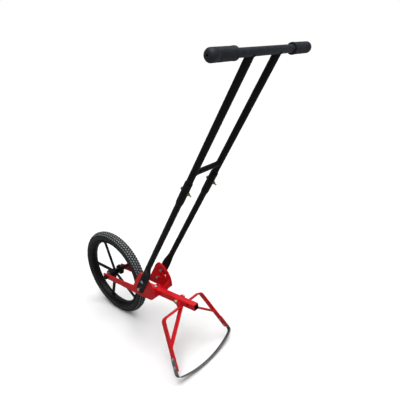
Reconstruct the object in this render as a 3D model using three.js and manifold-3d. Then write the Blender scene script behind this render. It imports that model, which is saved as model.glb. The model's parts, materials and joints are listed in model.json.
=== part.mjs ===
// Single-wheel hoe: a pneumatic wheel in a two-plate fork, a square tool bar with an oscillating
// stirrup hoe, and a T-handle whose tilt is set by clamp bolts in two arc slots.
// Millimetres. +X is the direction of travel, +Y is the operator's left, +Z is up.
// The ground is z = 0, and the origin is the middle of the tool's outline on the ground.

import * as THREE from 'three';
import { mergeVertices } from 'three/addons/utils/BufferGeometryUtils.js';
import Module from 'manifold-3d';

const wasm = await Module();
wasm.setup();

// ---- Driving dimensions -------------------------------------------------------------------

const GAP = 0.3; // clear space left between neighbouring pieces

const WHEEL = { radius: 200, sectionRadius: 22, rimInner: 150, rimLip: 164, spokes: 5, firstSpoke: 3.6 };
const SPOKE = { width: 16, thickness: 5 };
const HUB = { barrelRadius: 13, cupRadius: 23, halfWidth: 33, cupLength: 10 };
const BEARING = { outer: 16, width: 10 };
const AXLE = { radius: 6, halfLength: 63, nutFlats: 19, nutHeight: 8, spacerRadius: 9.5 };
const VALVE = { angle: 197, radius: 3, length: 26 };

const FORK = { inner: 47.5, thickness: 5, armTop: 15.5, armBottom: -8.5, frontEnd: 19, frontCorner: 5 };
const FORK_BELLY = [[-110, -9.5], [-190, -13.5], [-296, -14]]; // lower edge, from the arm to the rear
const QUADRANT = {
  radius: 84,
  topAngle: 112,
  rearAngle: 190,
  crown: [-251, 105.8], // corner that the rounded top is drawn round
  crownFront: [-234.6, 82],
  notchTop: [-196, 26],
  notch: [-192, 20], // corner between the quadrant and the arm
  notchFront: [-184, 20],
};
const REAR_TAB = { plateX: -314.5, barX: -302, low: 3, high: 38, barHalf: 11.5, thickness: 4 };

const BAR = { size: 25, wall: 2, corner: 2.5, front: -210, rear: -497 };
const BAR_BOLT_X = -277;
const BAR_HOLE = { x: -461.5, z: 2, radius: 5.3 };
const SADDLE = { front: -226, rear: -298, thickness: 3 }; // plate under the bar, between the fork plates

const HANDLE_PIVOT = new THREE.Vector3(-236.5, 0, 21);
const HANDLE = {
  lean: -34.94, // degrees from vertical, tipped back
  spread: 63.7, // half the distance between the two tubes
  tubeRadius: 11.1,
  wall: 2,
  clampHeight: 56.2, // clamp bolt above the pivot bolt
  jointHeight: 583,
  braceHeight: 658.5,
  barHeight: 1051.5,
};
const CLAMP_TRAVEL = { forward: 5, rearward: 30 }; // degrees either way from the middle setting
const FOOT = {
  x: -2.5,
  halfWidth: 18.5,
  toe: 16, // rounded end below the pivot bolt
  halfThickness: 2.1,
  offset: 55.1,
  flatTop: 100,
  roundBottom: 164,
};
const SOCKET = { radius: 13.3, bore: 11.55, bottom: 533.5, taper: 15, top: 618.5, insertDepth: 82 };
const JOINT_BOLT_TAIL = 9; // thread left standing beyond the nut
const BRACE_TUBE = { radius: 9, wall: 1.5 };
const TBAR = { radius: 11.1, wall: 2, halfLength: 223 };
const GRIP = { radius: 16, collarRadius: 16.6, inner: 133, outer: 230, dome: 14, bore: 11.4, vent: 1.6 };

const STIRRUP_PIVOT = new THREE.Vector3(-408, 0, 3);
const STIRRUP = {
  trail: 28.6, // degrees back from vertical, near the rear stop
  barDepth: 27.3, // cross bar below the pivot
  armTop: 106.75, // half width of the frame at the cross bar
  armSlope: 0.247, // outward splay of the arms
  armEnd: 212,
  width: 24,
  thickness: 5,
  bend: 14,
};
const STRUT = { rise: 102.7, start: 6 }; // arm joint below the bar, and half the gap at the bar
const EAR = { radius: 11, inner: 13, thickness: 5 };
const BLADE = {
  top: 163, // depths below the pivot
  corner: 235,
  middle: 262.6,
  arcRadius: 480,
  arcStep: 26,
  arcSteps: 5, // either side of the middle
  thickness: 3,
  front: 10,
  rear: -10,
  bend: 18,
};
const BLADE_BOLT_DEPTHS = [170, 199];

const M6 = { shank: 3, flats: 10, head: 4, nut: 5 };
const M8 = { shank: 4, flats: 13, head: 5.3, nut: 6.5 };
const BOLT_TAIL = 2; // thread left standing beyond most nuts
const PIVOT_WASHER = { radius: 8.5, thickness: 2 };

// ---- Small helpers ------------------------------------------------------------------------

const rad = THREE.MathUtils.degToRad;

/** Shared vertices merged, collapsed triangles dropped, faces pointing out. */
function solid(geometry) {
  const bare = geometry.clone();
  bare.deleteAttribute('normal');
  bare.deleteAttribute('uv');
  const merged = mergeVertices(bare, 1e-4);
  const index = merged.index.array;
  const kept = [];
  for (let i = 0; i < index.length; i += 3) {
    const [a, b, c] = [index[i], index[i + 1], index[i + 2]];
    if (a !== b && b !== c && c !== a) kept.push(a, b, c);
  }
  if (signedVolume(merged.attributes.position, kept) < 0) {
    for (let i = 0; i < kept.length; i += 3) [kept[i], kept[i + 1]] = [kept[i + 1], kept[i]];
  }
  merged.setIndex(kept);
  return merged;
}

function signedVolume(position, index) {
  const [a, b, c] = [new THREE.Vector3(), new THREE.Vector3(), new THREE.Vector3()];
  let volume = 0;
  for (let i = 0; i < index.length; i += 3) {
    a.fromBufferAttribute(position, index[i]);
    b.fromBufferAttribute(position, index[i + 1]);
    c.fromBufferAttribute(position, index[i + 2]);
    volume += a.dot(b.cross(c)) / 6;
  }
  return volume;
}

function toManifold(geometry) {
  const { attributes, index } = solid(geometry);
  return new wasm.Manifold(new wasm.Mesh({
    numProp: 3,
    vertProperties: new Float32Array(attributes.position.array),
    triVerts: new Uint32Array(index.array),
  }));
}

function fromManifold(manifold) {
  const { vertProperties, triVerts, numProp } = manifold.getMesh();
  const geometry = new THREE.BufferGeometry();
  geometry.setAttribute('position', new THREE.BufferAttribute(vertProperties, numProp));
  geometry.setIndex(new THREE.BufferAttribute(triVerts, 1));
  return geometry;
}

/** The first geometry with every other one cut out of it. */
function cut(base, ...tools) {
  return fromManifold(tools.reduce((body, tool) => body.subtract(toManifold(tool)), toManifold(base)));
}

/** All the geometries joined into one body. */
function join(...pieces) {
  const [first, ...rest] = pieces.map(toManifold);
  return fromManifold(rest.reduce((body, piece) => body.add(piece), first));
}

/** A round bar along +Z from z = low to z = high. */
function rod(radius, low, high, segments = 20) {
  const geometry = new THREE.CylinderGeometry(radius, radius, high - low, segments);
  return geometry.rotateX(Math.PI / 2).translate(0, 0, (low + high) / 2);
}

/** A round bar along Y, centred on (x, z). */
function crossRod(radius, halfLength, x, z, segments = 20) {
  return new THREE.CylinderGeometry(radius, radius, 2 * halfLength, segments).translate(x, 0, z);
}

/** A closed profile of [radius, y] points turned about the Y axis. */
function ring(profile, segments) {
  const points = [...profile, profile[0]].map(([r, y]) => new THREE.Vector2(r, y));
  return new THREE.LatheGeometry(points, segments);
}

/** A round tube along Y from y = low to y = high. */
function yTube(outer, inner, low, high, segments = 28) {
  return ring([[outer, low], [outer, high], [inner, high], [inner, low]], segments);
}

function hexPrism(flats, low, high) {
  return rod(flats / Math.sqrt(3), low, high, 6);
}

/** A hexagon bolt: the head stands on z = 0 and the shank runs down from it. */
function hexBolt(size, length) {
  return join(hexPrism(size.flats, 0, size.head), rod(size.shank, -length, 1, 16));
}

/** A hexagon nut hanging from z = 0. */
function hexNut(size) {
  const hole = rod(size.shank + GAP, -size.nut - 1, 1, 16);
  return cut(hexPrism(size.flats, -size.nut, 0), hole);
}

/** A shape drawn in (x, z), thickened in y. */
function sidePlate(shape, low, high, curveSegments = 12) {
  const plate = new THREE.ExtrudeGeometry(shape, { depth: high - low, bevelEnabled: false, curveSegments });
  return plate.rotateX(Math.PI / 2).translate(0, high, 0);
}

/** A shape drawn in (y, z), thickened in x. */
function frontPlate(shape, low, high, curveSegments = 8) {
  const plate = new THREE.ExtrudeGeometry(shape, { depth: high - low, bevelEnabled: false, curveSegments });
  const [x, y, z] = [new THREE.Vector3(1, 0, 0), new THREE.Vector3(0, 1, 0), new THREE.Vector3(0, 0, 1)];
  return plate.applyMatrix4(new THREE.Matrix4().makeBasis(y, z, x)).translate(low, 0, 0);
}

/** The outline of a strip of even thickness along a centre line of points. */
function stripShape(points, thickness) {
  const normalAt = (i) => {
    const before = points[Math.max(i - 1, 0)];
    const after = points[Math.min(i + 1, points.length - 1)];
    const along = after.clone().sub(before).normalize();
    return new THREE.Vector2(-along.y, along.x).multiplyScalar(thickness / 2);
  };
  const left = points.map((point, i) => point.clone().add(normalAt(i)));
  const right = points.map((point, i) => point.clone().sub(normalAt(i)));
  return new THREE.Shape([...left, ...right.reverse()]);
}

function roundedSquare(size, corner) {
  const h = size / 2;
  const shape = new THREE.Shape();
  shape.absarc(h - corner, h - corner, corner, 0, Math.PI / 2);
  shape.absarc(corner - h, h - corner, corner, Math.PI / 2, Math.PI);
  shape.absarc(corner - h, corner - h, corner, Math.PI, 1.5 * Math.PI);
  shape.absarc(h - corner, corner - h, corner, 1.5 * Math.PI, 2 * Math.PI);
  return shape;
}

// ---- Materials ----------------------------------------------------------------------------

const FINISHES = {
  redPaint: { color: 0xc4242a, roughness: 0.35, metalness: 0.1 },
  blackPaint: { color: 0x1c1c1b, roughness: 0.4, metalness: 0.1 },
  zinc: { color: 0xb9bec2, roughness: 0.3, metalness: 0.9 },
  yellowZinc: { color: 0xb5a060, roughness: 0.35, metalness: 0.9 },
  tyreRubber: { color: 0x1f211f, roughness: 0.8, metalness: 0 },
  tubeRubber: { color: 0x141414, roughness: 0.6, metalness: 0 },
  gripRubber: { color: 0x2a303c, roughness: 0.6, metalness: 0 },
  bladeSteel: { color: 0x45484a, roughness: 0.45, metalness: 0.8 },
  brightSteel: { color: 0x9a9c9e, roughness: 0.3, metalness: 0.9 },
};

/** One named piece with a material of its own, added to its group. */
function addPiece(group, name, geometry, finish) {
  const body = solid(geometry);
  body.computeVertexNormals();
  const mesh = new THREE.Mesh(body, new THREE.MeshStandardMaterial(FINISHES[finish]));
  mesh.name = name;
  group.add(mesh);
  return mesh;
}

/** Turns a bolt or nut made along Z so that its head side faces left (+1) or right (-1). */
function faceSideways(mesh, side, x, y, z) {
  mesh.rotation.x = (-side * Math.PI) / 2;
  mesh.position.set(x, side * y, z);
}

const SIDES = [['left', 1], ['right', -1]];

// ---- Wheel --------------------------------------------------------------------------------

const RIM = { lipHalf: 16.5, wall: 1.8, beadRadius: 156, beadFloor: 153.5, beadHalf: 13, wellHalf: 7 };
const INNER_TUBE = { ringRadius: 176, section: 13.5, wall: 1.5, stemBore: 1.2 };

function tyreGeometry() {
  const r = WHEEL.radius;
  const bulge = WHEEL.sectionRadius;
  const outside = [
    [158, 11], [158, 14.4], [165, 14.4], [r - 24, 21.2], [r - 16, bulge], [r - 6, 16.5], [r, 0],
  ];
  const inside = [[r - 5, 0], [r - 9.5, 13], [r - 19, 18], [164, 11]];
  const mirror = (points) => points.map(([x, y]) => [x, -y]).reverse();
  const outer = [...outside, ...mirror(outside.slice(0, -1))];
  return ring([...outer, ...mirror(inside.slice(1)), ...inside], 48);
}

function rimGeometry() {
  const { lipHalf, wall: sheet, beadRadius, beadFloor, beadHalf, wellHalf } = RIM;
  const outer = [
    [WHEEL.rimLip, lipHalf], [beadRadius, lipHalf], [beadFloor, beadHalf], [WHEEL.rimInner, wellHalf],
  ];
  const wall = [
    [WHEEL.rimInner + sheet, wellHalf - 0.7], [beadFloor + sheet, beadHalf - 0.8],
    [beadRadius + 1.3, lipHalf - sheet], [WHEEL.rimLip, lipHalf - sheet],
  ];
  const mirror = (points) => points.map(([x, y]) => [x, -y]).reverse();
  const profile = [...outer, ...mirror(outer), ...mirror(wall), ...wall];
  return cut(ring(profile, 48), valveRod(VALVE.radius + GAP, 140, 160));
}

/** A rod along the valve's radial line, between two radii from the axle. */
function valveRod(radius, low, high) {
  return rod(radius, low, high, 12).rotateY(Math.PI / 2 - rad(VALVE.angle));
}

function innerTubeGeometry() {
  const { ringRadius, section, wall, stemBore } = INNER_TUBE;
  const torus = (r) => new THREE.TorusGeometry(ringRadius, r, 6, 28).rotateX(Math.PI / 2);
  const stemEnd = WHEEL.rimInner - VALVE.length;
  const skin = join(torus(section), valveRod(VALVE.radius, stemEnd, ringRadius - section + 3));
  return cut(skin, torus(section - wall), valveRod(stemBore, stemEnd - 1, ringRadius));
}

function hubGeometry() {
  const { barrelRadius, cupRadius, halfWidth, cupLength } = HUB;
  const seat = BEARING.outer + GAP;
  const seatEnd = halfWidth - BEARING.width - GAP;
  const half = [
    [barrelRadius, halfWidth - cupLength - 5], [cupRadius, halfWidth - cupLength], [cupRadius, halfWidth],
    [seat, halfWidth], [seat, seatEnd], [8.5, seatEnd],
  ];
  const mirror = half.map(([r, y]) => [r, -y]).reverse();
  return ring([...half, ...mirror], 32);
}

function addWheel(parent) {
  const wheel = new THREE.Group();
  parent.add(wheel);
  addPiece(wheel, 'tyre', tyreGeometry(), 'tyreRubber');
  addPiece(wheel, 'inner_tube', innerTubeGeometry(), 'tubeRubber');
  addPiece(wheel, 'rim', rimGeometry(), 'blackPaint');
  addPiece(wheel, 'hub_shell', hubGeometry(), 'blackPaint');

  const spokeLow = HUB.barrelRadius + GAP;
  const rimFlat = WHEEL.rimInner * Math.cos(Math.PI / 48);
  const spokeHigh = Math.sqrt(rimFlat ** 2 - (SPOKE.width / 2) ** 2) - GAP;
  for (let i = 0; i < WHEEL.spokes; i += 1) {
    const bar = new THREE.BoxGeometry(SPOKE.width, SPOKE.thickness, spokeHigh - spokeLow);
    bar.translate(0, 0, (spokeLow + spokeHigh) / 2);
    const angle = WHEEL.firstSpoke + (i * 360) / WHEEL.spokes;
    bar.rotateY(Math.PI / 2 - rad(angle));
    addPiece(wheel, `spoke_${i + 1}`, bar, 'blackPaint');
  }

  for (const [name, side] of SIDES) {
    const outerFace = side * HUB.halfWidth;
    const innerFace = side * (HUB.halfWidth - BEARING.width);
    const race = yTube(BEARING.outer, AXLE.radius + GAP, innerFace, outerFace);
    addPiece(wheel, `hub_bearing_${name}`, race, 'brightSteel');
  }
}

function addAxle(parent) {
  const rodLength = 2 * AXLE.halfLength;
  const axle = new THREE.CylinderGeometry(AXLE.radius, AXLE.radius, rodLength, 24);
  addPiece(parent, 'axle', axle, 'zinc');
  const bore = AXLE.radius + GAP;
  const nutSize = { shank: AXLE.radius, flats: AXLE.nutFlats, nut: AXLE.nutHeight };
  for (const [name, side] of SIDES) {
    const near = side * (HUB.halfWidth + GAP);
    const far = side * (FORK.inner - GAP);
    addPiece(parent, `axle_spacer_${name}`, yTube(AXLE.spacerRadius, bore, near, far, 20), 'blackPaint');
    const nut = addPiece(parent, `axle_nut_${name}`, hexNut(nutSize), 'blackPaint');
    faceSideways(nut, side, 0, FORK.inner + FORK.thickness + GAP + AXLE.nutHeight, 0);
  }
}

// ---- Fork and tool bar --------------------------------------------------------------------

/** The side outline of a fork plate: the arm to the axle and the quadrant with its arc slot. */
function forkShape() {
  const { x: px, z: pz } = HANDLE_PIVOT;
  const onQuadrant = (angle) => [
    px + QUADRANT.radius * Math.cos(rad(angle)),
    pz + QUADRANT.radius * Math.sin(rad(angle)),
  ];
  const shape = new THREE.Shape();
  const { armTop, armBottom, frontEnd, frontCorner } = FORK;
  shape.moveTo(frontEnd, armBottom + frontCorner);
  shape.quadraticCurveTo(frontEnd, armBottom, frontEnd - frontCorner, armBottom);
  FORK_BELLY.forEach((point) => shape.lineTo(...point));
  shape.lineTo(...onQuadrant(QUADRANT.rearAngle));
  shape.absarc(px, pz, QUADRANT.radius, rad(QUADRANT.rearAngle), rad(QUADRANT.topAngle), true);
  shape.quadraticCurveTo(...QUADRANT.crown, ...QUADRANT.crownFront);
  shape.lineTo(...QUADRANT.notchTop);
  shape.quadraticCurveTo(...QUADRANT.notch, ...QUADRANT.notchFront);
  shape.lineTo(frontEnd - frontCorner, armTop);
  shape.quadraticCurveTo(frontEnd, armTop, frontEnd, armTop - frontCorner);

  const circle = (x, z, r) => new THREE.Path().absarc(x, z, r, 0, 2 * Math.PI);
  shape.holes = [circle(0, 0, AXLE.radius + GAP), circle(px, pz, M8.shank + GAP), clampSlot()];
  return shape;
}

/** The arc slot that the clamp bolt slides along when the handle is tilted. */
function clampSlot() {
  const { x: px, z: pz } = HANDLE_PIVOT;
  const half = M8.shank + 0.5;
  const upright = 90 - HANDLE.lean;
  const start = rad(upright - CLAMP_TRAVEL.forward);
  const end = rad(upright + CLAMP_TRAVEL.rearward);
  const centre = (angle) => [
    px + HANDLE.clampHeight * Math.cos(angle),
    pz + HANDLE.clampHeight * Math.sin(angle),
  ];
  const slot = new THREE.Path();
  slot.absarc(px, pz, HANDLE.clampHeight + half, start, end);
  slot.absarc(...centre(end), half, end, end + Math.PI);
  slot.absarc(px, pz, HANDLE.clampHeight - half, end, start, true);
  slot.absarc(...centre(start), half, start + Math.PI, start + 2 * Math.PI);
  return slot;
}

/** The tab bent in from a fork plate's rear edge to the side of the tool bar. */
function rearTab(side) {
  const { plateX, barX, low, high, barHalf, thickness } = REAR_TAB;
  const start = new THREE.Vector2(plateX, side * (FORK.inner + thickness / 2));
  const end = new THREE.Vector2(barX, side * (BAR.size / 2 + GAP));
  const length = start.distanceTo(end);
  const outline = new THREE.Shape([
    new THREE.Vector2(0, low), new THREE.Vector2(0, high),
    new THREE.Vector2(length, barHalf), new THREE.Vector2(length, -barHalf),
  ]);
  const tab = new THREE.ExtrudeGeometry(outline, { depth: thickness, bevelEnabled: false });
  tab.translate(0, 0, -thickness / 2);
  const along = end.clone().sub(start).angle();
  tab.rotateX(Math.PI / 2).rotateZ(along).translate(start.x, start.y, 0);
  const clearOfBar = new THREE.BoxGeometry(80, BAR.size + 2 * GAP, 80).translate(start.x, 0, 0);
  return cut(tab, clearOfBar);
}

function addFork(parent) {
  for (const [name, side] of SIDES) {
    const low = side > 0 ? FORK.inner : -FORK.inner - FORK.thickness;
    const plate = sidePlate(forkShape(), low, low + FORK.thickness, 6);
    addPiece(parent, `fork_plate_${name}`, join(plate, rearTab(side)), 'redPaint');
  }
}

function addToolBar(parent) {
  const section = roundedSquare(BAR.size, BAR.corner);
  section.holes = [roundedSquare(BAR.size - 2 * BAR.wall, 1)];
  const tube = frontPlate(section, BAR.rear, BAR.front, 3);
  const boltHole = rod(M8.shank + GAP, -BAR.size, BAR.size).translate(BAR_BOLT_X, 0, 0);
  const pivotHole = crossRod(M8.shank + GAP, BAR.size, STIRRUP_PIVOT.x, STIRRUP_PIVOT.z);
  const spareHole = crossRod(BAR_HOLE.radius, BAR.size, BAR_HOLE.x, BAR_HOLE.z);
  addPiece(parent, 'tool_bar', cut(tube, boltHole, pivotHole, spareHole), 'redPaint');

  const seat = BAR.size / 2 + GAP;
  const saddleWidth = 2 * (FORK.inner - GAP);
  const saddle = new THREE.BoxGeometry(SADDLE.front - SADDLE.rear, saddleWidth, SADDLE.thickness)
    .translate((SADDLE.front + SADDLE.rear) / 2, 0, -seat - SADDLE.thickness / 2);
  addPiece(parent, 'saddle_plate', cut(saddle, boltHole), 'redPaint');

  const nutSeat = seat + SADDLE.thickness + GAP;
  const length = seat + nutSeat + M8.nut + BOLT_TAIL;
  const bolt = addPiece(parent, 'tool_bar_bolt', hexBolt(M8, length), 'zinc');
  bolt.position.set(BAR_BOLT_X, 0, seat);
  const nut = addPiece(parent, 'tool_bar_nut', hexNut(M8), 'zinc');
  nut.position.set(BAR_BOLT_X, 0, -nutSeat);
}

// ---- Handle -------------------------------------------------------------------------------

/** One cross-section ring: squareness 1 is an ellipse, and a small value is a flat strip. */
function sectionRing({ x, y, z, a, b, squareness }, count) {
  const points = [];
  for (let i = 0; i < count; i += 1) {
    const angle = (2 * Math.PI * (i + 0.5)) / count;
    const [c, s] = [Math.cos(angle), Math.sin(angle)];
    const px = a * Math.sign(c) * Math.abs(c) ** squareness;
    const py = b * Math.sign(s) * Math.abs(s) ** squareness;
    points.push(x + px, y + py, z);
  }
  return points;
}

/** A skin through a row of cross-sections, with both ends closed. */
function loft(sections) {
  const count = 20;
  const position = sections.flatMap((section) => sectionRing(section, count));
  const index = [];
  for (let row = 0; row < sections.length - 1; row += 1) {
    for (let i = 0; i < count; i += 1) {
      const [a, b] = [row * count + i, row * count + ((i + 1) % count)];
      index.push(a, b, b + count, a, b + count, a + count);
    }
  }
  for (const [row, flip] of [[0, true], [sections.length - 1, false]]) {
    for (let i = 1; i < count - 1; i += 1) {
      const [a, b, c] = [row * count, row * count + i, row * count + i + 1];
      index.push(...(flip ? [a, c, b] : [a, b, c]));
    }
  }
  const geometry = new THREE.BufferGeometry();
  geometry.setAttribute('position', new THREE.Float32BufferAttribute(position, 3));
  geometry.setIndex(index);
  return geometry;
}

/** The section of the lower tube where it changes from flat (blend 0) to round (blend 1). */
function footSection(z, side, blend, inset) {
  const mix = (flat, round) => flat + (round - flat) * blend;
  return {
    x: mix(FOOT.x, 0),
    y: side * mix(FOOT.offset, HANDLE.spread),
    z,
    a: mix(FOOT.halfWidth, HANDLE.tubeRadius) - inset,
    b: mix(FOOT.halfThickness, HANDLE.tubeRadius) - inset,
    squareness: mix(0.3, 1),
  };
}

/** The cutter for the bolt hole that runs front to back through the joint of the two tubes. */
function jointHole() {
  return rod(M6.shank + GAP, -20, 20, 16).rotateY(Math.PI / 2).translate(0, 0, HANDLE.jointHeight);
}

/** Lower handle tube: a flattened, rounded foot, a round tube, and a swaged socket on top. */
function lowerTubeGeometry(side) {
  const { flatTop, roundBottom, halfWidth } = FOOT;
  const { bottom, top, radius: socketRadius, bore } = SOCKET;
  const taperBottom = bottom - SOCKET.taper;
  const round = (z, radius) => ({ x: 0, y: side * HANDLE.spread, z, a: radius, b: radius, squareness: 1 });
  const toe = [80, 60, 40, 20].map((angle) => ({
    ...footSection(-FOOT.toe * Math.sin(rad(angle)), side, 0, 0),
    a: halfWidth * Math.cos(rad(angle)),
  }));
  const change = [0, 0.2, 0.4, 0.6, 0.8, 1];
  const zAt = (t) => flatTop + t * (roundBottom - flatTop);
  const smooth = (t) => t * t * (3 - 2 * t);
  const outside = [
    ...toe, footSection(0, side, 0, 0),
    ...change.map((t) => footSection(zAt(t), side, smooth(t), 0)),
    round(taperBottom, HANDLE.tubeRadius), round(bottom, socketRadius), round(top, socketRadius),
  ];
  const hollow = [
    ...change.slice(2).map((t) => footSection(zAt(t), side, smooth(t), HANDLE.wall)),
    round(taperBottom, HANDLE.tubeRadius - HANDLE.wall),
    round(bottom, bore), round(top + 5, bore),
  ];
  const footHole = (z) => crossRod(M8.shank + GAP, 90, 0, z, 16);
  const hole = jointHole().translate(0, side * HANDLE.spread, 0);
  return cut(loft(outside), loft(hollow), footHole(0), footHole(HANDLE.clampHeight), hole);
}

/** Upper handle tube: slipped into the socket below, and notched round the T-bar above. */
function upperTubeGeometry(side) {
  const bottom = SOCKET.top - SOCKET.insertDepth;
  const outer = rod(HANDLE.tubeRadius, bottom, HANDLE.barHeight, 24);
  const inner = rod(HANDLE.tubeRadius - HANDLE.wall, bottom - 1, HANDLE.barHeight + 1, 24);
  const tube = cut(outer, inner, jointHole(), crossRod(TBAR.radius + GAP, 20, 0, HANDLE.barHeight, 28));
  return tube.translate(0, side * HANDLE.spread, 0);
}

function crossBraceGeometry() {
  const { radius, wall } = BRACE_TUBE;
  const tube = yTube(radius, radius - wall, -HANDLE.spread, HANDLE.spread, 20);
  const notch = (side) => rod(HANDLE.tubeRadius + GAP, -20, 20, 24).translate(0, side * HANDLE.spread, 0);
  return cut(tube, notch(1), notch(-1)).translate(0, 0, HANDLE.braceHeight);
}

/** A rubber grip: collar at the inner end, domed outer end with a small vent hole. */
function gripGeometry(side) {
  const { radius, collarRadius, inner, outer, dome, bore, vent } = GRIP;
  const domeBase = outer - dome;
  const domeCurve = [25, 50, 75].map((angle) => [
    radius * Math.cos(rad(angle)),
    domeBase + dome * Math.sin(rad(angle)),
  ]);
  const profile = [
    [bore, inner], [collarRadius - 1.5, inner], [collarRadius, inner + 2], [collarRadius, inner + 5],
    [radius, inner + 8], [radius, domeBase], ...domeCurve, [vent, outer],
    [vent, TBAR.halfLength + GAP], [bore, TBAR.halfLength + GAP],
  ];
  return ring(profile.map(([r, y]) => [r, side * y]), 24).translate(0, 0, HANDLE.barHeight);
}

function addHandle(parent) {
  const handle = new THREE.Group();
  handle.position.copy(HANDLE_PIVOT);
  handle.rotation.y = rad(HANDLE.lean);
  parent.add(handle);

  const footFace = FOOT.offset + FOOT.halfThickness + GAP;
  const nutFace = FORK.inner - GAP;
  const boltLength = footFace - nutFace + M8.nut + BOLT_TAIL;
  const jointSeat = SOCKET.radius + GAP;
  const jointLength = 2 * jointSeat + M6.nut + JOINT_BOLT_TAIL;
  for (const [name, side] of SIDES) {
    addPiece(handle, `lower_tube_${name}`, lowerTubeGeometry(side), 'blackPaint');
    addPiece(handle, `upper_tube_${name}`, upperTubeGeometry(side), 'blackPaint');
    addPiece(handle, `grip_${name}`, gripGeometry(side), 'gripRubber');

    const clampBolt = addPiece(handle, `clamp_bolt_${name}`, hexBolt(M8, boltLength), 'zinc');
    faceSideways(clampBolt, side, 0, footFace, HANDLE.clampHeight);
    const clampNut = addPiece(handle, `clamp_nut_${name}`, hexNut(M8), 'zinc');
    faceSideways(clampNut, side, 0, nutFace, HANDLE.clampHeight);

    const jointBolt = addPiece(handle, `joint_bolt_${name}`, hexBolt(M6, jointLength), 'yellowZinc');
    jointBolt.position.set(jointSeat, side * HANDLE.spread, HANDLE.jointHeight);
    jointBolt.rotation.y = Math.PI / 2;
    const jointNut = addPiece(handle, `joint_nut_${name}`, hexNut(M6), 'yellowZinc');
    jointNut.position.set(-jointSeat, side * HANDLE.spread, HANDLE.jointHeight);
    jointNut.rotation.y = Math.PI / 2;
  }
  addPiece(handle, 'cross_brace', crossBraceGeometry(), 'blackPaint');
  const bar = yTube(TBAR.radius, TBAR.radius - TBAR.wall, -TBAR.halfLength, TBAR.halfLength);
  addPiece(handle, 't_bar', bar.translate(0, 0, HANDLE.barHeight), 'blackPaint');

  for (const [name, side] of SIDES) {
    const { x, z } = HANDLE_PIVOT;
    const pivotBolt = addPiece(parent, `pivot_bolt_${name}`, hexBolt(M8, boltLength), 'zinc');
    faceSideways(pivotBolt, side, x, footFace, z);
    const pivotNut = addPiece(parent, `pivot_nut_${name}`, hexNut(M8), 'zinc');
    faceSideways(pivotNut, side, x, nutFace, z);
  }
}

// ---- Stirrup hoe --------------------------------------------------------------------------

/** A point on an arm's centre line, at a depth below the pivot and pushed outward by offset. */
function armPoint(depth, offset, side) {
  const slant = Math.hypot(1, STIRRUP.armSlope);
  const y = STIRRUP.armTop + STIRRUP.armSlope * (depth - STIRRUP.barDepth);
  return new THREE.Vector2(side * (y + offset / slant), -depth + (offset * STIRRUP.armSlope) / slant);
}

/** Points along a path with the corner between three points rounded off. */
function roundCorner(from, corner, to, bend) {
  const start = corner.clone().add(from.clone().sub(corner).setLength(bend));
  const end = corner.clone().add(to.clone().sub(corner).setLength(bend));
  return new THREE.QuadraticBezierCurve(start, corner, end).getPoints(6);
}

function stirrupFrameGeometry() {
  const ends = SIDES.map(([, side]) => armPoint(STIRRUP.armEnd, 0, side));
  const corners = SIDES.map(([, side]) => armPoint(STIRRUP.barDepth, 0, side));
  const line = [
    ends[0], ...roundCorner(ends[0], corners[0], corners[1], STIRRUP.bend),
    ...roundCorner(corners[0], corners[1], ends[1], STIRRUP.bend), ends[1],
  ];
  const half = STIRRUP.width / 2;
  const frame = frontPlate(stripShape(line, STIRRUP.thickness), -half, half);
  return cut(frame, ...bladeBoltHoles());
}

/** The blade's centre line: down one arm, round a shallow arc, and up the other arm. */
function bladeLine() {
  const offset = STIRRUP.thickness / 2 + GAP + BLADE.thickness / 2;
  const top = SIDES.map(([, side]) => armPoint(BLADE.top, offset, side));
  const corner = SIDES.map(([, side]) => armPoint(BLADE.corner, offset, side));
  const { middle, arcRadius, arcStep, arcSteps } = BLADE;
  const arc = Array.from({ length: 2 * arcSteps + 1 }, (_, i) => {
    const y = (arcSteps - i) * arcStep;
    return new THREE.Vector2(y, -middle + arcRadius - Math.sqrt(arcRadius ** 2 - y ** 2));
  });
  return [
    top[0], ...roundCorner(top[0], corner[0], arc[0], BLADE.bend), ...arc,
    ...roundCorner(arc.at(-1), corner[1], top[1], BLADE.bend), top[1],
  ];
}

function bladeGeometry() {
  const band = frontPlate(stripShape(bladeLine(), BLADE.thickness), BLADE.rear, BLADE.front);
  return cut(band, ...bladeBoltHoles());
}

/** Places something made along Z on an arm's bolt line, with +Z pointing outward. */
function onArm(object, depth, offset, side) {
  const point = armPoint(depth, offset, side);
  object.position.set(0, point.x, point.y);
  object.rotation.x = side * (Math.atan(STIRRUP.armSlope) - Math.PI / 2);
}

function bladeBoltHoles() {
  return SIDES.flatMap(([, side]) => BLADE_BOLT_DEPTHS.map((depth) => {
    const place = new THREE.Object3D();
    onArm(place, depth, 0, side);
    place.updateMatrix();
    return rod(M6.shank + GAP, -20, 20, 12).applyMatrix4(place.matrix);
  }));
}

/** A round-headed bolt: the domed head stands on z = 0 and the shank runs down from it. */
function domeBolt(size, length) {
  const radius = 0.65 * size.flats;
  const profile = [[0, 3.6], [0.5 * radius, 3.2], [0.82 * radius, 2.2], [radius, 0.8], [radius, 0], [0, 0]];
  const points = profile.map(([r, y]) => new THREE.Vector2(r, y));
  const head = new THREE.LatheGeometry(points, 12).rotateX(Math.PI / 2);
  return join(head, rod(size.shank, -length, 1, 12));
}

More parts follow.
